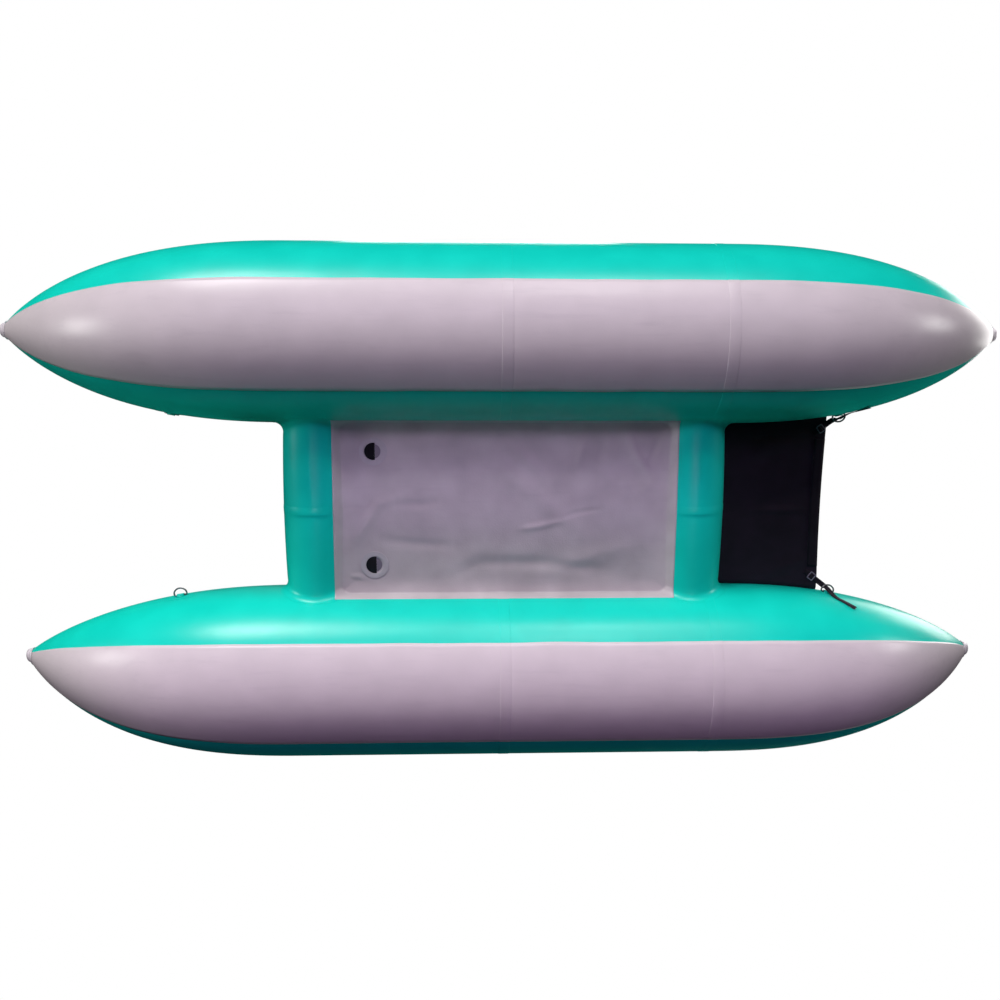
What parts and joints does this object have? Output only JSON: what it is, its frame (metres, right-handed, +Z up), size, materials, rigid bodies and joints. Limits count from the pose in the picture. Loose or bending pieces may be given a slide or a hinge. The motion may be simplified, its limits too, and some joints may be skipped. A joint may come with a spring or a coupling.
{
  "type": "cataraft",
  "caption": "Inflatable cataraft: tapered pontoons with keel strips and tip caps, inflated cross tubes, a fabric floor with flap drains, a cargo panel, air valves, D-rings and carry handles.",
  "frame": {"origin": "on the ground under the middle of the craft, which stands deck up on its keel strips", "axes": "+X towards the bow, +Y to port, +Z up"},
  "size_m": [2.74, 1.381, 0.5048],
  "materials": {
    "teal_coated_fabric": "glossy PVC coated polyester",
    "grey_coated_fabric": "satin PVC coated polyester",
    "grey_floor_fabric": "satin PVC coated polyester sheet",
    "light_grey_moulding": "satin moulded PVC",
    "black_polyester": "woven black polyester",
    "black_webbing": "woven black webbing",
    "grey_acetal": "satin moulded acetal",
    "white_acetal": "satin moulded acetal",
    "stainless_steel": "polished stainless wire",
    "black_rubber": "matt moulded rubber"
  },
  "bodies": {
    "craft": {"pontoon_port": "teal_coated_fabric", "wear_strip_port": "grey_coated_fabric", "drain_grommet_port": "light_grey_moulding", "cargo_strap_port": "black_webbing", "ladder_lock_port": "grey_acetal", "tip_cap_bow_port": "light_grey_moulding", "ring_patch_bow_port": "teal_coated_fabric", "carry_handle_bow_port": "black_rubber", "tip_cap_stern_port": "light_grey_moulding", "ring_patch_stern_port": "teal_coated_fabric", "d_ring_stern_port": "stainless_steel", "carry_handle_stern_port": "black_rubber", "pontoon_starboard": "teal_coated_fabric", "wear_strip_starboard": "grey_coated_fabric", "drain_grommet_starboard": "light_grey_moulding", "cargo_strap_starboard": "black_webbing", "ladder_lock_starboard": "grey_acetal", "tip_cap_bow_starboard": "light_grey_moulding", "ring_patch_bow_starboard": "teal_coated_fabric", "carry_handle_bow_starboard": "black_rubber", "tip_cap_stern_starboard": "light_grey_moulding", "ring_patch_stern_starboard": "teal_coated_fabric", "d_ring_stern_starboard": "stainless_steel", "carry_handle_stern_starboard": "black_rubber", "cross_tube_bow": "teal_coated_fabric", "cross_tube_stern": "teal_coated_fabric", "floor_panel": "grey_floor_fabric", "cargo_panel": "black_polyester", "cargo_hem": "black_webbing", "valve_body_port": "grey_acetal", "valve_nut_port": "grey_acetal", "valve_spring_port": "stainless_steel", "valve_body_starboard": "grey_acetal", "valve_nut_starboard": "grey_acetal", "valve_spring_starboard": "stainless_steel", "valve_body_bow_tube": "grey_acetal", "valve_nut_bow_tube": "grey_acetal", "valve_spring_bow_tube": "stainless_steel", "valve_body_stern_tube": "grey_acetal", "valve_nut_stern_tube": "grey_acetal", "valve_spring_stern_tube": "stainless_steel"},
    "lid_port": {"valve_lid_port": "grey_acetal"},
    "stem_port": {"valve_stem_port": "white_acetal"},
    "lid_starboard": {"valve_lid_starboard": "grey_acetal"},
    "stem_starboard": {"valve_stem_starboard": "white_acetal"},
    "lid_bow_tube": {"valve_lid_bow_tube": "grey_acetal"},
    "stem_bow_tube": {"valve_stem_bow_tube": "white_acetal"},
    "lid_stern_tube": {"valve_lid_stern_tube": "grey_acetal"},
    "stem_stern_tube": {"valve_stem_stern_tube": "white_acetal"},
    "ring_bow_port": {"d_ring_bow_port": "stainless_steel"},
    "ring_bow_starboard": {"d_ring_bow_starboard": "stainless_steel"},
    "flap_port": {"drain_flap_port": "black_rubber"},
    "flap_starboard": {"drain_flap_starboard": "black_rubber"}
  },
  "joints": [
    {"name": "valve_lid_port_hinge", "type": "hinge", "parent": "craft", "child": "lid_port", "pos_m": [-0.4195, 0.458, 0.4771], "axis": [0, -1, 0], "range_deg": [0, 160]},
    {"name": "valve_stem_port_press", "type": "slide", "parent": "craft", "child": "stem_port", "axis": [0, 0, -1], "range_m": [0, 0.003], "stiffness_N_per_m": 250, "springref_m": -0.004, "deforming": ["valve_spring_port"]},
    {"name": "valve_lid_starboard_hinge", "type": "hinge", "parent": "craft", "child": "lid_starboard", "pos_m": [-0.4195, -0.458, 0.4771], "axis": [0, -1, 0], "range_deg": [0, 160]},
    {"name": "valve_stem_starboard_press", "type": "slide", "parent": "craft", "child": "stem_starboard", "axis": [0, 0, -1], "range_m": [0, 0.003], "stiffness_N_per_m": 250, "springref_m": -0.004, "deforming": ["valve_spring_starboard"]},
    {"name": "valve_lid_bow_tube_hinge", "type": "hinge", "parent": "craft", "child": "lid_bow_tube", "pos_m": [0.4955, 0.1, 0.3296], "axis": [0, -1, 0], "range_deg": [0, 160]},
    {"name": "valve_stem_bow_tube_press", "type": "slide", "parent": "craft", "child": "stem_bow_tube", "axis": [0, 0, -1], "range_m": [0, 0.003], "stiffness_N_per_m": 250, "springref_m": -0.004, "deforming": ["valve_spring_bow_tube"]},
    {"name": "valve_lid_stern_tube_hinge", "type": "hinge", "parent": "craft", "child": "lid_stern_tube", "pos_m": [-0.5145, 0.1, 0.3296], "axis": [0, -1, 0], "range_deg": [0, 160]},
    {"name": "valve_stem_stern_tube_press", "type": "slide", "parent": "craft", "child": "stem_stern_tube", "axis": [0, 0, -1], "range_m": [0, 0.003], "stiffness_N_per_m": 250, "springref_m": -0.004, "deforming": ["valve_spring_stern_tube"]},
    {"name": "d_ring_bow_port_swing", "type": "hinge", "parent": "craft", "child": "ring_bow_port", "pos_m": [0.888, 0.24677, 0.23995], "axis": [0.9818, 0.18, 0.0607], "range_deg": [-5, 165]},
    {"name": "d_ring_bow_starboard_swing", "type": "hinge", "parent": "craft", "child": "ring_bow_starboard", "pos_m": [0.888, -0.24677, 0.23995], "axis": [0.9818, -0.18, 0.0607], "range_deg": [-85, 85]},
    {"name": "drain_flap_port_hinge", "type": "hinge", "parent": "craft", "child": "flap_port", "pos_m": [0.3535, 0.153, 0.19435], "axis": [0, 1, 0], "range_deg": [0, 55], "stiffness_Nm_per_rad": 0.005},
    {"name": "drain_flap_starboard_hinge", "type": "hinge", "parent": "craft", "child": "flap_starboard", "pos_m": [0.3535, -0.153, 0.19435], "axis": [0, 1, 0], "range_deg": [0, 55], "stiffness_Nm_per_rad": 0.005}
  ]
}
